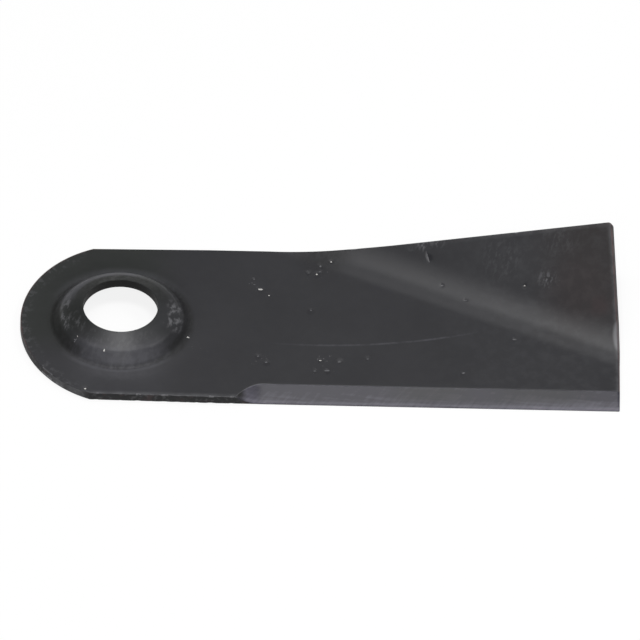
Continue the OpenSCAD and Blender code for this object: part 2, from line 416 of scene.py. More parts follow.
def chip_loops(rng, reach):
    """An outer and an inner ragged loop for each chip beyond the cup, and what shows in it."""
    loops, shown = [], []
    for x, y, long, wide, turn, kind in CHIPS:
        wobble = [rng.uniform(0.7, 1.25) for _ in range(CHIP_CORNERS)]
        if math.hypot(x, y) < reach:
            continue
        c, s = math.cos(math.radians(turn)), math.sin(math.radians(turn))
        for share in (1.0, CHIP_FLOOR):
            loop = []
            for i in range(CHIP_CORNERS):
                t = 2 * math.pi * i / CHIP_CORNERS
                u = long / 2 * wobble[i] * share * math.cos(t)
                v = wide / 2 * wobble[i] * share * math.sin(t)
                loop.append((x + c * u - s * v, y + s * u + c * v))
            loops.append(np.array(loop))
        shown.append(kind)
    return loops, shown


def inside(points, loop):
    """Which points lie inside a closed loop."""
    result = np.zeros(len(points), bool)
    for a, b in zip(loop, np.roll(loop, -1, 0)):
        crosses = (a[1] > points[:, 1]) != (b[1] > points[:, 1])
        with np.errstate(divide="ignore", invalid="ignore"):
            x = a[0] + (points[:, 1] - a[1]) * (b[0] - a[0]) / (b[1] - a[1])
        result ^= crosses & (points[:, 0] < x)
    return result


def edge_distance(points, edge):
    """How far each point lies from the outline, seen from above."""
    tree = kdtree.KDTree(len(edge))
    for i, (x, y) in enumerate(edge):
        tree.insert((x, y, 0), i)
    tree.balance()
    near = np.array([tree.find((x, y, 0))[1] for x, y in points])
    result = np.full(len(points), math.inf)
    for step in (-1, 0):
        a, b = edge[(near + step) % len(edge)], edge[(near + step + 1) % len(edge)]
        share = np.clip(((points - a) * (b - a)).sum(1) / ((b - a) ** 2).sum(1), 0, 1)
        result = np.minimum(result, np.linalg.norm(a + (b - a) * share[:, None] - points, axis=1))
    return result


def skin_grid(size, step):
    """Rows of points along the fold line, close together where the plate bends."""
    slant = size["fold_line_angle"]
    across = np.array([math.sin(slant), math.cos(slant)])
    along = np.array([math.cos(slant), -math.sin(slant)])
    middle = size["thickness"] / 2
    tight = (size["tight_radius"] + middle) * size["tight_angle"]
    bent = tight + (size["loose_radius"] + middle) * size["loose_angle"]
    rows = np.concatenate([
        np.arange(-size["fold_distance"] * 2, -1, step),
        np.linspace(0, tight, 13)[:-1],
        np.linspace(tight, bent, 9)[:-1],
        np.arange(bent, 3 * size["fold_distance"], step)])
    points = []
    for number, row in enumerate(rows):
        s = np.arange(-size["width"], size["tip_distance"] + size["width"], step) + (number % 2) * step / 2
        points.append((size["fold_distance"] + row) * across + s[:, None] * along)
    return np.concatenate(points)


# Assembly of the flat blade. Points lie this far apart along the outline, on the skins and in the small box
# where the wheel's hollow runs out, and this far from the rounded edge, the cup's dish and the kept lines.

EDGE_STEP, SKIN_STEP, HOLLOW_STEP = 0.9, 2.6, 0.9
HOLLOW_BOX = ((58, 76), (-54, -43))
SUPPORT_GAP, DISH_GAP, LINE_GAP = 0.6, 0.8, 0.75

# Points round the cup, the angles at which a rounded edge has points, and the shares of the wall's height

RING_COUNT = 288
EDGE_ANGLES = (67.5, 45, 22.5, 0)
WALL_SHARES = (0.8, 0.6, 0.4, 0.2)

# The top edge belongs to the bevel where it is this much lower than the plate's top.
GROUND_BELOW = 0.3


def blank_mesh(size, seed):
    """Points, faces and surface kinds of the pressed, ground and chipped plate before it is folded."""
    rng = random.Random(seed)
    top = size["thickness"]
    edge, outward = outline(size, EDGE_STEP)
    count = len(edge)
    wall_height = top_height(edge[:, 0], edge[:, 1], size)
    rounding, upper_kind, lower_kind = edge_wear(edge, size)
    rounding = np.minimum(rounding, MOST_ROUNDED * wall_height)
    inset = edge - outward * rounding[:, None]
    turn = np.arange(RING_COUNT) * 2 * math.pi / RING_COUNT
    ring = size["dish_radius"] * np.column_stack([np.cos(turn), np.sin(turn)])
    support = edge - outward * (rounding + SUPPORT_GAP)[:, None]
    chips, shown = chip_loops(rng, size["dish_radius"])

    # Lines that the triangles keep to, and free points that stay clear of them
    fixed, lines = [], []

    def keep(points, closed):
        start = len(fixed)
        fixed.extend(map(tuple, points))
        last = len(points) if closed else len(points) - 1
        lines.extend((start + i, start + (i + 1) % len(points)) for i in range(last))

    keep(inset, True)
    keep(ring, True)
    keep(support, True)
    for row in crease_rows(size):
        keep(row[inside(row, support)], False)
    chip_first = len(fixed)
    for loop in chips:
        keep(loop, True)
    fixed_points = np.array(fixed)
    tree = kdtree.KDTree(len(fixed_points) * 2)
    starts = fixed_points[[a for a, _ in lines]]
    ends = fixed_points[[b for _, b in lines]]
    for i, p in enumerate(np.concatenate([fixed_points, (starts + ends) / 2])):
        tree.insert((p[0], p[1], 0), i)
    tree.balance()
    fine_x, fine_y = np.meshgrid(*(np.arange(*ends, HOLLOW_STEP) for ends in HOLLOW_BOX))
    loose = np.concatenate([skin_grid(size, SKIN_STEP), np.column_stack([fine_x.ravel(), fine_y.ravel()])])
    loose = loose[inside(loose, support) & (np.hypot(*loose.T) > size["dish_radius"] + DISH_GAP)]
    free = [tuple(p) for p in loose if tree.find((p[0], p[1], 0))[2] > LINE_GAP]
    places = [Vector(p) for p in fixed + free]
    flat, _, triangles, origins, _, _ = delaunay_2d_cdt(places, lines, [], 0, 1e-5)
    flat = np.array([tuple(p) for p in flat])
    new_place = {}
    for new, sources in enumerate(origins):
        for source in sources:
            new_place[source] = new
    middles = np.array([flat[list(t)].mean(0) for t in triangles])
    dish = size["dish_radius"] * math.cos(math.pi / RING_COUNT)
    # The bound lies a hair inside the edge, which leaves out a sliver between points of a straight side
    bound = edge - outward * (rounding + 0.001)[:, None]
    inner = inside(middles, bound) & (np.hypot(*middles.T) > dish - 1e-6)
    kept = [t for t, good in zip(triangles, inner) if good]
    middles = middles[inner]

    kinds = np.full(len(kept), ENAMEL)
    kinds[crease_height(middles[:, 0], middles[:, 1], size) < 0] = GROUND
    sunk = set()
    for number, loop in enumerate(chips):
        if number % 2 == 0:
            kinds[inside(middles, loop)] = shown[number // 2]
        else:
            first = chip_first + CHIP_CORNERS * number
            sunk.update(new_place[first + i] for i in range(CHIP_CORNERS))

    height = top_height(flat[:, 0], flat[:, 1], size)
    for place in sunk:
        height[place] -= CHIP_DEPTH
    used = sorted({v for t in kept for v in t})
    number = {v: i for i, v in enumerate(used)}
    points = [np.column_stack([flat[used], skin]) for skin in (height[used], np.zeros(len(used)))]
    below = len(used)
    faces, surface = [], []
    for t, kind in zip(kept, kinds):
        faces.append([number[v] for v in t])
        surface.append(kind)
        faces.append([number[v] + below for v in reversed(t)])
        surface.append(ENAMEL)
    total = 2 * below

    def rows_between(loops, closed_with, kind_of, turned=False):
        """Adds loops of points and joins each to the next, from the first of closed_with to its last."""
        nonlocal total
        chain = [closed_with[0]]
        for loop in loops:
            points.append(loop)
            chain.append(list(range(total, total + len(loop))))
            total += len(loop)
        chain.append(closed_with[1])
        for level, (a, b) in enumerate(zip(chain[:-1], chain[1:])):
            for i in range(len(a)):
                j = (i + 1) % len(a)
                face = [a[i], b[i], b[j], a[j]]
                faces.append(face[::-1] if turned else face)
                surface.append(kind_of(level, i))

    # Sheared walls, from the top skin's edge down to the underside's
    top_edge = [number[new_place[i]] for i in range(count)]
    bottom_edge = [n + below for n in top_edge]

    def rounded(phi):
        """The outline part of the way round a worn edge, and how far it has moved from the skin there."""
        p = math.radians(phi)
        return edge - outward * (rounding * (1 - math.cos(p)))[:, None], rounding * (1 - math.sin(p))

    loops = []
    for place, sunk_by in map(rounded, EDGE_ANGLES):
        loops.append(np.column_stack([place, top_height(place[:, 0], place[:, 1], size) - sunk_by]))
    for share in WALL_SHARES:
        loops.append(np.column_stack([edge, rounding + (wall_height - rounding - rounding) * share]))
    loops += [np.column_stack(rounded(phi)) for phi in reversed(EDGE_ANGLES)]
    is_ground = wall_height < top - GROUND_BELOW
    lower_from = len(loops) - len(EDGE_ANGLES) - 1

    def wall_kind(level, i):
        if level < len(EDGE_ANGLES):
            return GROUND if is_ground[i] else upper_kind[i]
        return SHEARED if level < lower_from else lower_kind[i]

    rows_between(loops, (top_edge, bottom_edge), wall_kind)

    # Cup, from the dish's edge on top to the same edge underneath
    section, bore = cup_section(size)
    band_radius = (section[1:, 0] + section[:-1, 0]) / 2
    ring_top = [number[new_place[count + i]] for i in range(RING_COUNT)]
    ring_bottom = [n + below for n in ring_top]
    circles = [
        np.column_stack([r * np.cos(turn), r * np.sin(turn), np.full(RING_COUNT, z)])
        for r, z in section[1:-1]]

    def cup_kind(level, i):
        if level in bore:
            return SHEARED
        if level < bore[0]:
            middle_turn = turn[i] + math.pi / RING_COUNT
            x, y = band_radius[level] * math.cos(middle_turn), band_radius[level] * math.sin(middle_turn)
            for cx, cy, long, wide, _, kind in CHIPS:
                if ((x - cx) / long) ** 2 + ((y - cy) / wide) ** 2 < 0.25:
                    return kind
        return ENAMEL

    rows_between(circles, (ring_top, ring_bottom), cup_kind, turned=True)
    return np.concatenate(points), faces, surface, edge


# Sums that fold a point: result, operation, and what it takes, by name or as a number

FOLD_SUMS = [
    # Radii and lengths at the middle of the plate's thickness
    ("half", "MULTIPLY", "Plate thickness", 0.5),
    ("tight middle", "ADD", "Tight radius", "half"),
    ("loose middle", "ADD", "Loose radius", "half"),
    ("tight length", "MULTIPLY", "tight middle", "Tight angle"),
    ("fold length", "MULTIPLY_ADD", "loose middle", "Loose angle", "tight length"),
    # How far past the fold line the point lies, and how far it is turned in each bend
    ("past", "SUBTRACT", "reach", "Fold distance"),
    ("turn", "DIVIDE", "past", "tight middle"),
    ("turn", "MAXIMUM", "turn", 0.0),
    ("tight", "MINIMUM", "turn", "Tight angle"),
    ("after", "SUBTRACT", "past", "tight length"),
    ("after", "MAXIMUM", "after", 0.0),
    ("turn", "DIVIDE", "after", "loose middle"),
    ("loose", "MINIMUM", "turn", "Loose angle"),
    ("turned", "ADD", "tight", "loose"),
    ("loose end", "ADD", "Tight angle", "loose"),
    ("wing", "SUBTRACT", "past", "fold length"),
    ("wing", "MAXIMUM", "wing", 0.0),
    ("turned sine", "SINE", "turned"),
    ("turned cosine", "COSINE", "turned"),
    ("tight sine", "SINE", "tight"),
    ("tight cosine", "COSINE", "tight"),
    ("end sine", "SINE", "loose end"),
    ("end cosine", "COSINE", "loose end"),
    ("full sine", "SINE", "Tight angle"),
    ("full cosine", "COSINE", "Tight angle"),
    # How far the middle of the plate has run level, and how far it has risen
    ("before", "MINIMUM", "past", 0.0),
    ("run", "MULTIPLY_ADD", "tight middle", "tight sine", "before"),
    ("more", "SUBTRACT", "end sine", "full sine"),
    ("run", "MULTIPLY_ADD", "loose middle", "more", "run"),
    ("run", "MULTIPLY_ADD", "wing", "turned cosine", "run"),
    ("more", "SUBTRACT", 1.0, "tight cosine"),
    ("rise", "MULTIPLY", "tight middle", "more"),
    ("more", "SUBTRACT", "full cosine", "end cosine"),
    ("rise", "MULTIPLY_ADD", "loose middle", "more", "rise"),
    ("rise", "MULTIPLY_ADD", "wing", "turned sine", "rise"),
    # The point keeps its depth in the plate, square to the folded middle
    ("middle", "ADD", "Underside", "half"),
    ("depth", "SUBTRACT", "height", "middle"),
    ("lean", "MULTIPLY", "depth", "turned sine"),
    ("level", "SUBTRACT", "run", "lean"),
    ("shift", "SUBTRACT", "level", "past"),
    ("lifted", "ADD", "middle", "rise"),
    ("lifted", "MULTIPLY_ADD", "depth", "turned cosine", "lifted"),
    ("lift", "SUBTRACT", "lifted", "height")]


def fold_nodes(size):
    """A tree that folds a flat plate along a slanting line, through a tight bend and then a looser one.

    It keeps each point's place in the flat plate, in millimetres, as the attribute "flat_place".
    """
    tree = bpy.data.node_groups.new("Fold plate", "GeometryNodeTree")
    tree.interface.new_socket("Geometry", in_out="OUTPUT", socket_type="NodeSocketGeometry")
    values = {
        "Fold line angle": size["fold_line_angle"], "Fold distance": size["fold_distance"] * MM,
        "Tight radius": size["tight_radius"] * MM, "Tight angle": size["tight_angle"],
        "Loose radius": size["loose_radius"] * MM, "Loose angle": size["loose_angle"],
        "Plate thickness": size["thickness"] * MM, "Underside": UNDERSIDE}
    finishes = ("Enamel", "Ground steel", "Sheared edge", "Bare steel", "Rubbed enamel")
    for names, kind in ((("Flat plate",), "Geometry"), (values, "Float"), (finishes, "Material")):
        for name in names:
            tree.interface.new_socket(name, in_out="INPUT", socket_type="NodeSocket" + kind)
    made = {socket.name: socket for socket in add(tree, "NodeGroupInput").outputs}
    slant = [add(tree, MATHS, [made["Fold line angle"]], operation=part) for part in ("SINE", "COSINE")]
    across = add(tree, "ShaderNodeCombineXYZ", slant)
    position = add(tree, "GeometryNodeInputPosition")
    made["height"] = add(tree, SEPARATE, [position]).outputs["Z"]
    made["reach"] = add(tree, VECTORS, [position, across], operation="DOT_PRODUCT")
    for result, operation, *taken in FOLD_SUMS:
        made[result] = add(tree, MATHS, [made.get(name, name) for name in taken], operation=operation)
    sideways = add(tree, VECTORS, {0: across, "Scale": made["shift"]}, operation="SCALE")
    upward = add(tree, "ShaderNodeCombineXYZ", {"Z": made["lift"]})
    offset = add(tree, VECTORS, [sideways, upward], operation="ADD")
    in_mm = add(tree, VECTORS, {0: position, "Scale": 1 / MM}, operation="SCALE")
    plate = add(
        tree, "GeometryNodeStoreNamedAttribute",
        {"Geometry": made["Flat plate"], "Name": "flat_place", "Value": in_mm}, data_type="FLOAT_VECTOR")
    folded = add(tree, "GeometryNodeSetPosition", {"Geometry": plate, "Offset": offset})
    result = add(tree, "GeometryNodeRealizeInstances", [folded])
    kind = add(tree, "GeometryNodeInputNamedAttribute", {"Name": "surface"}, data_type="INT")
    for number, name in enumerate(finishes):
        chosen = {"A": kind, "B": number}
        chosen = add(tree, "FunctionNodeCompare", chosen, data_type="INT", operation="EQUAL")
        covered = {"Geometry": result, "Selection": chosen, "Material": made[name]}
        result = add(tree, "GeometryNodeSetMaterial", covered)
    add(tree, "NodeGroupOutput", [result])
    return tree, values, finishes


# Finishes. Lengths in their patterns are millimetres in the flat plate, and noise scales are per millimetre.

# Marks on the cup: direction in degrees, turn from it where they are full and where they end,
# radii where they start, are full, start to fade and end, strength

# Haze marks, partly painted highlight on the cup's near side, its far shoulders and next to the rim
HAZES_AND_HIGHLIGHTS = [
    (-90, 14, 57, 22, 33, 36, 40, 1.0), (-90, 8, 42, 35, 38, 40, 48, 0.4),
    (118, 30, 60, 23.5, 27, 31.5, 34, 0.85), (95, 40, 75, 31, 33.5, 35.5, 41, 0.35),
    (-14, 10, 34, 18.5, 19.5, 23, 27, 0.15)]
SCUFFS = [
    (-4, 8, 26, 23, 26.5, 31.0, 33.0, 0.85), (183, 8, 30, 25.5, 27.5, 29.5, 31.5, 0.85),
    (203, 6, 20, 20.5, 22.5, 25.5, 28.0, 0.4), (90, 40, 82, 27.5, 29.0, 31.5, 33.0, 0.3),
    (-90, 25, 60, 19.5, 22, 32, 36, 0.14)]
# Dirt with painted shade round the foot of the cup's wall on the left and right, and on the crown by the hole
GRIME_AND_SHADE = [
    (182, 34, 68, 30.2, 32.0, 34.5, 38.5, 0.66), (2, 30, 62, 31.6, 33.0, 36, 39.0, 0.66),
    (90, 45, 88, 19.0, 19.6, 24.5, 27.5, 0.7), (180, 25, 70, 19.5, 21, 26.5, 28.5, 0.35)]

# Dull film with painted shade where the fold meets the trailing edge, stains near the tip, pale scrapes on
# the wing, and clusters of fine specks: place, reach, strength

DULL_FILM_AND_SHADE = [(104, 55, 21, 0.6)]
STAINS = [(246, 11, 9, 0.75), (236, 21, 26, 0.3)]
SCRAPES = [
    (219.5, 28, 7, 0.5), (197, 41, 17, 0.13), (228, 49, 16, 0.12), (150, 54, 5, 0.6), (157, 53.5, 6, 0.8),
    (164, 54, 5, 0.7)]
SPECKS = [
    (69, 29, 8, 1.0), (101, 40, 10, 1.0), (71, -27, 7, 0.8), (104, -29, 12, 0.9), (222, 28, 7, 0.7),
    (40, -20, 9, 0.5)]

# Places on the sheared wall that are rubbed pale, and on the bevel where the film is thick; the first place
# on the bevel is painted shade in the wheel's hollow

WALL_RUBS = [(-30, -42, 9, 0.5), (-22, -48, 9, 0.5)]
THICK_FILM_AND_SHADE = [(60.5, -51, 5.5, 0.95), (160, -47.5, 30, 0.55), (214, -47.5, 38, 0.5)]


def new_material(name):
    """A material with an empty node tree."""
    material = bpy.data.materials.new(name)
    material.use_nodes = True
    material.node_tree.nodes.clear()
    return material, material.node_tree


def new_finish(name):
    """A material that knows its place in the flat plate, in full and seen from above."""
    material, tree = new_material(name)
    flat = add(tree, ATTRIBUTE, attribute_name="flat_place").outputs["Vector"]
    return material, tree, flat, add(tree, VECTORS, [flat, (1, 1, 0)], operation="MULTIPLY")


def joined(tree, operation, *parts):
    """Joins parts by one operation. A part is a node, or a ramp: how it rises, a value and its limits."""
    total = None
    for part in parts:
        if isinstance(part, tuple):
            part = add(tree, RANGE, part[1:], interpolation_type=part[0])
        total = part if total is None else add(tree, MATHS, [total, part], operation=operation)
    return total


def coated(tree, shade, coats):
    """Lays colours over a colour, each by its share, which is a node or a ramp."""
    for share, colour_on_top in coats:
        mixed = {"Factor": joined(tree, "MULTIPLY", share), "A": shade, "B": colour_on_top[:]}
        shade = add(tree, MIX, mixed, data_type="RGBA")
    return shade


def drawn_out(tree, flat, turn, size, grain):
    """Noise drawn out along a direction in degrees, with grains of a size in millimetres."""
    placed = {"Vector": flat, "Rotation": (0, 0, math.radians(turn)), "Scale": size}
    placed = add(tree, MAPPING, placed, vector_type="TEXTURE")
    return add(tree, NOISE, {"Vector": placed, "Scale": 1.0, **grain})


def cup_marks(tree, level, radius, marks):
    """The strongest of some marks on the cup, at each point."""
    outward = add(tree, VECTORS, [level], operation="NORMALIZE")
    made = []
    for direction, full, none, start, inner, outer, end, strength in marks:
        t, full, none = math.radians(direction), math.cos(math.radians(full)), math.cos(math.radians(none))
        facing = add(tree, VECTORS, [outward, (math.cos(t), math.sin(t), 0)], operation="DOT_PRODUCT")
        made.append(joined(
            tree, "MULTIPLY", (SOFT, facing, none, full, 0.0, strength), (SOFT, radius, start, inner),
            (SOFT, radius, end, outer)))
    return joined(tree, "MAXIMUM", *made)


def round_marks(tree, level, marks):
    """The strongest of some round marks on the plate, at each point."""
    made = []
    for x, y, reach, strength in marks:
        away = add(tree, VECTORS, [level, (x, y, 0)], operation="DISTANCE")
        made.append((SOFT, away, reach, reach * 0.2, 0.0, strength))
    return joined(tree, "MAXIMUM", *made)


def enamel_on_rolled_plate(finish):
    """Black enamel dipped on hot-rolled plate: near black and half gloss, scuffed grey where the cup and the
    edges are handled, with painted highlights on the cup, the crease and the tip's edge, dull where soiled,
    with painted shade in the cup's hollows, and faintly stained near the tip."""
    material, tree, flat, level = new_finish("Black enamel on rolled plate")
    product, strongest = partial(joined, tree, "MULTIPLY"), partial(joined, tree, "MAXIMUM")
    edge = add(tree, ATTRIBUTE, attribute_name="edge_distance").outputs["Fac"]
    crease = add(tree, ATTRIBUTE, attribute_name="crease_distance").outputs["Fac"]
    x, y, z = add(tree, SEPARATE, [flat]).outputs
    radius = add(tree, VECTORS, [level], operation="LENGTH")

    # The plate's top, where some of the marks are
    bottom = UNDERSIDE / MM
    top = add(tree, RANGE, [z, bottom + 1, bottom + 3])

    # Clouds 35 mm across, mottling of 5 mm, flecks of 2.4 mm, and scuffs of 4 by 2 mm, all drawn coarse so
    # that they show
    cloud = add(tree, NOISE, {"Vector": flat, "Scale": 1 / 35, "Detail": 4.0})
    mottle = add(tree, NOISE, {"Vector": flat, "Scale": 1 / 5, "Detail": 4.0, "Roughness": 0.6})
    fleck = add(tree, NOISE, {"Vector": flat, "Scale": 1 / 2.4, "Detail": 3.0, "Roughness": 0.6})
    scuff = drawn_out(tree, flat, 70, (4.0, 2.0, 4.0), {"Detail": 5.0, "Roughness": 0.62})

    # Film browned near the tip, and thick and greenish round the far side of the cup
    browned = product((SOFT, x, 205.0, 240.0), (SOFT, y, -20.0, 15.0))
    greenish = product((SOFT, x, 36.0, 8.0), (SOFT, y, -30.0, -5.0))

    # Rubbed grey hazing, partly a painted highlight, on the near side of the cup and on its shoulders, thin
    # on the plate in front of it
    haze_and_highlight = product(cup_marks(tree, level, radius, HAZES_AND_HIGHLIGHTS), (EVEN, mottle, 0.25, 0.7, 0.62, 1.12))
    front = product(round_marks(tree, level, [(2, -42, 40, 1.0)]), (EVEN, cloud, 0.3, 0.7, 0.14, 0.3))
    haze_and_highlight = add(tree, MATHS, [haze_and_highlight, front], operation="MAXIMUM", use_clamp=True)

    # Faint clouds, and mottling that grows towards the wing
    clouded = (SOFT, cloud, 0.35, 0.68, 0.0, 0.025)
    mottled = product((EVEN, x, 150.0, 215.0, 0.012, 0.07), (SOFT, mottle, 0.4, 0.7))

    # Scuffs on the cup and scrapes on the wing, then wear on the round end's rim, and along the tip, the
    # trailing edge and the bevel's start; along the tip's edge it is partly a painted highlight on the
    # rounding
    scrapes = product(round_marks(tree, level, SCRAPES), top)
    scuffed = strongest(cup_marks(tree, level, radius, SCUFFS), scrapes)
    scuffed = product(scuffed, (SOFT, scuff, 0.46, 0.64, 0.05, 1.0))
    end = product(
        (SOFT, edge, 8.0, 0.5, 0.0, 0.27), (SOFT, x, -12.0, -30.0), (SOFT, fleck, 0.5, 0.64, 0.08, 1.0))
    tip = add(tree, RANGE, [x, 251.0, 253.5])
    near = product((EVEN, y, -50.5, -52.0), (EVEN, x, 64.0, 58.0))
    far = product((EVEN, y, 49.0, 51.0), (EVEN, x, 150.0, 200.0, 0.0, 0.7))
    sides = strongest(tip, near, far)
    rim = product((SOFT, edge, 3.2, 0.8, 0.0, 0.3), sides, (EVEN, mottle, 0.35, 0.6, 0.4, 1.0))

    # Fine specks in clusters, a worn knock on the tip's edge with a painted highlight, and a painted
    # highlight, partly wear, on the line where the bevel's start leaves the top
    dots = add(tree, "ShaderNodeTexVoronoi", {"Vector": level, "Scale": 1 / 1.7})
    clusters = round_marks(tree, level, SPECKS)
    dots = product((SOFT, dots, 0.26, 0.12), clusters, (EVEN, mottle, 0.48, 0.6, 0.0, 0.8), top)
    blow_and_glint = {"Vector": flat, "Location": (255.2, -7.0, 0), "Scale": (3.6, 11.0, 1000.0)}
    blow_and_glint = add(tree, VECTORS, [add(tree, MAPPING, blow_and_glint, vector_type="TEXTURE")], operation="LENGTH")
    line = add(tree, MATHS, [crease], operation="ABSOLUTE")
    line = product((SOFT, line, 0.55, 0.15, 0.0, 0.9), top, (EVEN, x, 79.0, 72.0, 0.15, 0.7))
    # Wear in rubbed grey; at the knock on the tip, along the tip's edge and on the crease it is partly a
    # painted highlight
    worn = strongest(scuffed, end, rim, dots, (SOFT, blow_and_glint, 1.0, 0.55), line)

    # Shallow scratch across the body, an arc 580 mm in diameter and 1 mm wide
    off = add(tree, VECTORS, [level, (100, 275.2, 0)], operation="DISTANCE")
    off = add(tree, MATHS, [off, 289.9], operation="SUBTRACT")
    off = add(tree, MATHS, [off], operation="ABSOLUTE")
    scratch = product(
        (SOFT, off, 0.9, 0.25), top, (EVEN, x, 76.0, 108.0), (EVEN, x, 185.0, 165.0), (EVEN, y, 5.0, -1.0),
        (EVEN, mottle, 0.38, 0.62, 0.1, 0.6))

    # Brown stain near the tip, and a thin line of rust on the far side of the round end and on the tip's edge
    stain = product(round_marks(tree, level, STAINS), (EVEN, mottle, 0.36, 0.6, 0.3, 1.0))
    sides = strongest(tip, product((EVEN, y, -32.0, -12.0), (EVEN, x, -6.0, -18.0)))
    rust = product((SOFT, edge, 1.0, 0.1), sides, (EVEN, mottle, 0.35, 0.6, 0.3, 0.9))

    # Dirt with painted shade in the cup's hollows and round the foot of its wall except on the far side, and
    # the dull film with painted shade
    foot = add(tree, MATHS, [radius, 35.2], operation="SUBTRACT")
    foot = add(tree, MATHS, [foot], operation="ABSOLUTE")
    foot = product((SOFT, foot, 2.4, 0.2, 0.0, 0.6), (SOFT, y, 20.0, 6.0))
    # Dull film that lays painted shade over the fold's highlight at the trailing edge
    film = product(round_marks(tree, level, DULL_FILM_AND_SHADE), top)
    grime_and_shade = strongest(cup_marks(tree, level, radius, GRIME_AND_SHADE), foot, film)
    grime_and_shade = product(grime_and_shade, (EVEN, scuff, 0.62, 0.4, 0.55, 1.0))

    shade = coated(tree, finish.enamel[:], [
        (browned, finish.wing_enamel), (greenish, finish.root_enamel), (haze_and_highlight, finish.haze_and_highlight),
        (clouded, finish.rubbed), (mottled, finish.rubbed), (worn, finish.rubbed), (scratch, finish.haze_and_highlight),
        (stain, finish.stain), (rust, finish.rust), (grime_and_shade, finish.dirt_and_shade)])
    # Half gloss, duller under the soiling and painted shade, and under the grey hazing and painted highlight
    rough = add(tree, RANGE, [cloud, 0.3, 0.7, 0.33, 0.37])
    for mark, duller in ((grime_and_shade, 0.28), (haze_and_highlight, 0.08)):
        rough = add(tree, MATHS, [mark, duller, rough], operation="MULTIPLY_ADD")
    # Scale rolled into the plate, drawn at 1.2 mm, coarser than it is, so that it shows
    grain = add(tree, NOISE, {"Vector": flat, "Scale": 1 / 1.2, "Detail": 3.0, "Roughness": 0.6})
    bump = add(tree, "ShaderNodeBump", {"Strength": 0.3, "Distance": 0.02 * MM, "Height": grain})
    shader = add(tree, SHADER, {
        "Base Color": shade, "Roughness": rough, "Specular IOR Level": 0.25, "Normal": bump})
    add(tree, "ShaderNodeOutputMaterial", {"Surface": shader})
    return material


def ground_steel(finish):
    """Bevel ground on a wheel and dipped: soft streaks along the edge and faint slanting wheel marks under a
    thin purplish film, worn paler towards the cutting edge, with painted shade and painted light in the
    wheel's hollow and a painted highlight along the crease."""
    material, tree, flat, level = new_finish("Ground steel under thin film")
    product = partial(joined, tree, "MULTIPLY")
    crease = add(tree, ATTRIBUTE, attribute_name="crease_distance").outputs["Fac"]
    x, y, _ = add(tree, SEPARATE, [flat]).outputs
    # Wheel marks are 1.7 mm apart, coarser than a 24 grit wheel's, so that they show, and streaks 1.8 mm.
    marks = drawn_out(tree, flat, 48, (14.0, 1.7, 4.0), {"Detail": 4.0, "Roughness": 0.6})
    streak = drawn_out(tree, flat, -4, (22.0, 1.8, 6.0), {"Detail": 3.0})

    # Paler towards the cutting edge and the tip, with painted light where the wheel's hollow runs out, and a
    # painted highlight along the crease
    east = product((SOFT, x, 185.0, 225.0, 0.0, 0.3), (SOFT, y, -47.0, -51.0))
    hollow = product((SOFT, x, 61.0, 65.5), (SOFT, x, 73.0, 67.5, 0.0, 0.3))
    line = add(tree, MATHS, [crease], operation="ABSOLUTE")
    line = product((SOFT, line, 0.6, 0.15, 0.0, 0.9), (EVEN, x, 79.0, 72.0, 0.3, 0.5))
    pale = joined(
        tree, "ADD", (SOFT, y, -47.0, -51.5, -0.13, 0.03), (SOFT, y, -51.6, -53.0, 0.0, 0.36), east,
        (EVEN, marks, 0.35, 0.7, -0.08, 0.21), (EVEN, streak, 0.36, 0.66, -0.08, 0.18), hollow, line)

    # Painted shade, as thick film, in the hollow where the wheel ran in, and film left thick in patches along
    # the upper half
    upper = joined(tree, "MAXIMUM", (EVEN, y, -51.8, -50.0), (EVEN, x, 80.0, 75.0))
    thick = product(round_marks(tree, level, THICK_FILM_AND_SHADE), upper)
    shade = coated(tree, finish.ground[:], [(pale, finish.honed), (thick, finish.dirt_and_shade)])
    bump = add(tree, "ShaderNodeBump", {"Strength": 0.12, "Distance": 0.03 * MM, "Height": marks})
    shader = add(tree, SHADER, {
        "Base Color": shade, "Roughness": 0.38, "Specular IOR Level": 0.25, "Normal": bump})
    add(tree, "ShaderNodeOutputMaterial", {"Surface": shader})
    return material


def sheared_edge(finish):
    """Plate edge cut in a shear and dipped: matt black, with upright drag marks, with pale scuffs and brown
    rust in places, and with painted shade on the bolt hole's wall."""
    material, tree, flat, level = new_finish("Sheared edge under thin film")
    radius = add(tree, VECTORS, [level], operation="LENGTH")
    # Drag marks are 1 mm apart and as tall as the wall, patches 6 mm and specks 2 mm across.
    drag = drawn_out(tree, flat, 0, (1.0, 1.0, 9.0), {"Detail": 4.0})
    patch = add(tree, NOISE, {"Vector": flat, "Scale": 1 / 6, "Detail": 3.0})
    speck = add(tree, NOISE, {"Vector": flat, "Scale": 1 / 2, "Detail": 3.0})
    shade = coated(tree, finish.sheared[:], [
        ((EVEN, patch, 0.55, 0.7, 0.0, 0.3), finish.rust),
        ((EVEN, speck, 0.52, 0.66, 0.0, 0.3), finish.rubbed),
        (round_marks(tree, level, WALL_RUBS), finish.rubbed),
        # Painted shade on the bolt hole's wall
        ((EVEN, radius, 21.0, 20.0, 0.0, 0.9), finish.dirt_and_shade)])
    bump = add(tree, "ShaderNodeBump", {"Strength": 0.5, "Distance": 0.06 * MM, "Height": drag})
    shader = add(tree, SHADER, {
        "Base Color": shade, "Roughness": 0.6, "Specular IOR Level": 0.2, "Normal": bump})
    add(tree, "ShaderNodeOutputMaterial", {"Surface": shader})
    return material


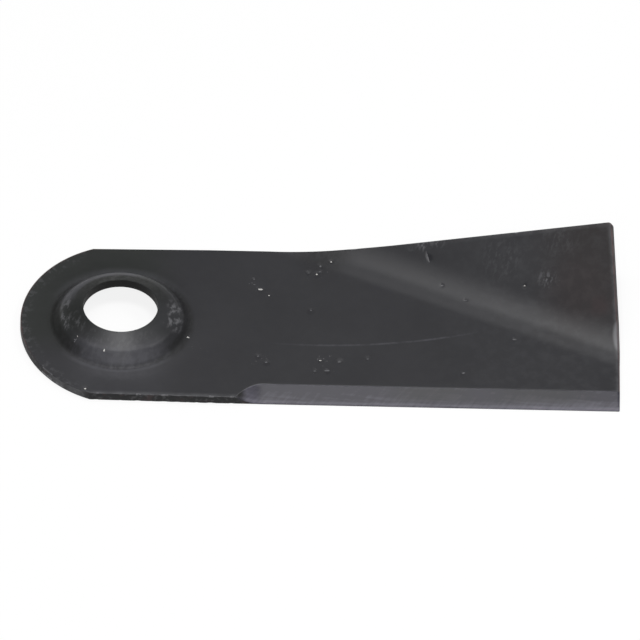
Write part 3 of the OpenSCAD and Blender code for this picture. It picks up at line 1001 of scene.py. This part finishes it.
def worn_place(name, grain, share, colours, look):
    """A small place worn through the enamel: two colours in patches with grains of a size in millimetres."""
    material, tree = new_material(name)
    flat = add(tree, ATTRIBUTE, attribute_name="flat_place").outputs["Vector"]
    patch = add(tree, NOISE, {"Vector": flat, "Scale": 1 / grain, "Detail": 3.0})
    shade = coated(tree, colours[0][:], [((EVEN, patch, *share), colours[1])])
    shader = add(tree, SHADER, {"Base Color": shade, **look})
    add(tree, "ShaderNodeOutputMaterial", {"Surface": shader})
    return material


def bare_steel(finish):
    """Steel where a knock has taken the enamel off: pale, half dull and slightly uneven."""
    return worn_place(
        "Bare chipped steel", 0.9, (0.3, 0.6, 0.35, 1.0), (finish.rubbed, finish.bare),
        {"Metallic": 0.3, "Roughness": 0.5})


def rubbed_enamel(finish):
    """Enamel worn thin by handling: grey, uneven, duller than the rest."""
    return worn_place(
        "Rubbed enamel", 1.4, (0.35, 0.65, 0.2, 1.0), (finish.enamel, finish.rubbed),
        {"Roughness": 0.45, "Specular IOR Level": 0.3})


def sizes_in_mm(sizes):
    """The blade's sizes as plain numbers: lengths in millimetres, angles in radians."""
    result = {}
    for name, item in sizes.bl_rna.properties.items():
        if item.type == "FLOAT":
            result[name] = getattr(sizes, name) * (1 / MM if item.unit == "LENGTH" else 1)
    return result


# Distances from the edges are told apart up to this one.

WEAR_REACH = 20


class MESH_OT_mower_blade(bpy.types.Operator):
    """Builds the blade's plate, flat, and folds its wing"""
    bl_idname = "mesh.mower_blade"
    bl_label = "Blade"

    def execute(self, context):
        finish = context.scene.blade_finish
        size = sizes_in_mm(context.scene.blade_sizes)
        points, faces, surface, edge = blank_mesh(size, finish.wear_seed)
        blank = bpy.data.meshes.new("blank")
        blank.from_pydata((points * MM + [0, 0, UNDERSIDE]).tolist(), [], faces)
        blank.attributes.new("surface", "INT", "FACE").data.foreach_set("value", surface)
        worn_from = {
            "edge_distance": edge_distance(points[:, :2], edge),
            "crease_distance": crease_height(points[:, 0], points[:, 1], size) / bevel_steepness(size)}
        for name, distances in worn_from.items():
            near = distances.clip(-WEAR_REACH, WEAR_REACH)
            blank.attributes.new(name, "FLOAT", "POINT").data.foreach_set("value", near)
        flat = bpy.data.objects.new("blank", blank)
        context.scene.collection.objects.link(flat)
        tree, values, finishes = fold_nodes(size)
        modifier = flat.modifiers.new("Fold", "NODES")
        modifier.node_group = tree
        sockets = {item.name: item.identifier for item in tree.interface.items_tree if item.in_out == "INPUT"}
        for name, value in values.items():
            modifier[sockets[name]] = value
        makers = (enamel_on_rolled_plate, ground_steel, sheared_edge, bare_steel, rubbed_enamel)
        for name, make in zip(finishes, makers):
            modifier[sockets[name]] = make(finish)
        evaluated = flat.evaluated_get(context.evaluated_depsgraph_get())
        mesh = bpy.data.meshes.new_from_object(evaluated)
        flat.modifiers.remove(modifier)
        bpy.data.objects.remove(flat)
        mesh.name = "steel_blade"
        mesh.polygons.foreach_set("use_smooth", [True] * len(mesh.polygons))
        blade = bpy.data.objects.new("steel_blade", mesh)
        context.scene.collection.objects.link(blade)
        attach(blade, "root")
        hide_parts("blade")
        return {"FINISHED"}


# Square softboxes: name, lean to the right, to the back, brightness. Then how wide they look from the blade,
# in degrees, how far away they stand, and the place that they face, in metres.

SOFTBOXES = [
    ("Overhead softbox", 0, 0, 18.2), ("Left overhead softbox", -15, 0, 4.6),
    ("Back softbox", 0, 30, 3.7), ("Front softbox", 0, -45, 7.4), ("Right softbox", 35, 0, 6.6)]
SOFTBOX_ANGLE = 15
SOFTBOX_DISTANCE = 2
SOFTBOXES_FACE = Vector((0.1, 0, 0))


def softbox(context, name, right, back, brightness):
    """A square lamp that faces the blade and is as bright all over, whatever its size."""
    away = Vector((math.tan(math.radians(right)), math.tan(math.radians(back)), 1)).normalized()
    light = bpy.data.lights.new(name, "AREA")
    light.shape = "SQUARE"
    light.size = 2 * SOFTBOX_DISTANCE * math.tan(math.radians(SOFTBOX_ANGLE / 2))
    light.energy = brightness * math.pi * light.size ** 2
    lamp = bpy.data.objects.new(name, light)
    lamp.location = SOFTBOXES_FACE + away * SOFTBOX_DISTANCE
    lamp.rotation_euler = (-away).to_track_quat("-Z", "Y").to_euler()
    lamp.visible_camera = False
    context.scene.collection.objects.link(lamp)


def stage_floor(stage):
    """Matt white card, which stays white to the camera and in reflections, with a pale shadow."""
    material, tree = new_material("Matt white card")
    card = add(tree, SHADER, {
        "Base Color": stage.floor[:], "Roughness": 0.9, "Specular IOR Level": 0.1})
    path = add(tree, "ShaderNodeLightPath").outputs
    seen = joined(tree, "MAXIMUM", *(path[f"Is {ray} Ray"] for ray in ("Camera", "Glossy", "Transmission")))
    # The rest of the card's light is its own shading, which keeps the blade's shadow
    share = add(tree, MATHS, [seen, 0.85], operation="MULTIPLY")
    glow = add(tree, "ShaderNodeEmission", {"Color": (1, 1, 1, 1), "Strength": 1.0})
    both = add(tree, "ShaderNodeMixShader", [share, card, glow])
    add(tree, "ShaderNodeOutputMaterial", {"Surface": both})
    return material


class SCENE_OT_mower_blade_stage(bpy.types.Operator):
    """Lays the floor and sets the lamps, the surroundings and the camera"""
    bl_idname = "scene.mower_blade_stage"
    bl_label = "Stage"

    def execute(self, context):
        scene = context.scene
        stage = scene.stage_settings
        # Floor
        radius = 6.0
        mesh = bpy.data.meshes.new("floor")
        corners = [(-radius, -radius), (radius, -radius), (radius, radius), (-radius, radius)]
        mesh.from_pydata([(x, y, FLOOR) for x, y in corners], [], [(0, 1, 2, 3)])
        floor = bpy.data.objects.new("floor", mesh)
        scene.collection.objects.link(floor)
        mesh.materials.append(stage_floor(stage))
        # Surroundings and lamps
        world = bpy.data.worlds.new("Studio")
        scene.world = world
        world.use_nodes = True
        tree = world.node_tree
        tree.nodes.clear()
        light = add(tree, "ShaderNodeBackground", {"Color": (1, 1, 1, 1), "Strength": 0.28})
        add(tree, "ShaderNodeOutputWorld", {"Surface": light})
        for lamp in SOFTBOXES:
            softbox(context, *lamp)
        # Camera
        e, a, r = stage.elevation, stage.azimuth, stage.roll
        right = Vector((math.cos(a), math.sin(a), 0))
        level = Vector((-math.sin(a), math.cos(a), 0))
        up = level * math.sin(e) + Vector((0, 0, math.cos(e)))
        away = level * math.cos(e) - Vector((0, 0, math.sin(e)))
        camera = bpy.data.cameras.new("Camera")
        camera.lens = camera.sensor_width * stage.distance / stage.view_width
        camera.clip_end = 100
        holder = bpy.data.objects.new("Camera", camera)
        aim = right * stage.aim_right + up * stage.aim_up + Vector((0, 0, UNDERSIDE))
        rolled_right = right * math.cos(r) + up * math.sin(r)
        rolled_up = up * math.cos(r) - right * math.sin(r)
        axes = Matrix((rolled_right, rolled_up, -away)).transposed()
        holder.matrix_world = Matrix.Translation(aim - away * stage.distance) @ axes.to_4x4()
        scene.collection.objects.link(holder)
        scene.camera = holder
        scene.view_settings.view_transform = "Standard"
        return {"FINISHED"}


class VIEW3D_PT_mower_blade(bpy.types.Panel):
    """Lists the sizes, the finish and the buttons that build the blade and its stage"""
    bl_label = "Mower Blade"
    bl_space_type = "VIEW_3D"
    bl_region_type = "UI"
    bl_category = "Mower Blade"

    def draw(self, context):
        for group in (context.scene.blade_sizes, context.scene.blade_finish, context.scene.stage_settings):
            box = self.layout.box()
            for name in group.bl_rna.properties.keys():
                if name not in ("rna_type", "name"):
                    box.prop(group, name)
        self.layout.operator(MESH_OT_mower_blade.bl_idname)
        self.layout.operator(SCENE_OT_mower_blade_stage.bl_idname)


CLASSES = (
    BladeSizes, BladeFinish, StageSettings, MESH_OT_mower_blade, SCENE_OT_mower_blade_stage,
    VIEW3D_PT_mower_blade)


def register():
    for item in CLASSES:
        bpy.utils.register_class(item)
    bpy.types.Scene.blade_sizes = PointerProperty(type=BladeSizes)
    bpy.types.Scene.blade_finish = PointerProperty(type=BladeFinish)
    bpy.types.Scene.stage_settings = PointerProperty(type=StageSettings)


def unregister():
    del bpy.types.Scene.stage_settings
    del bpy.types.Scene.blade_finish
    del bpy.types.Scene.blade_sizes
    for item in reversed(CLASSES):
        bpy.utils.unregister_class(item)


def main():
    register()
    bpy.ops.scene.mower_blade_stage()
    bpy.ops.mesh.mower_blade()


if __name__ == "__main__":
    main()
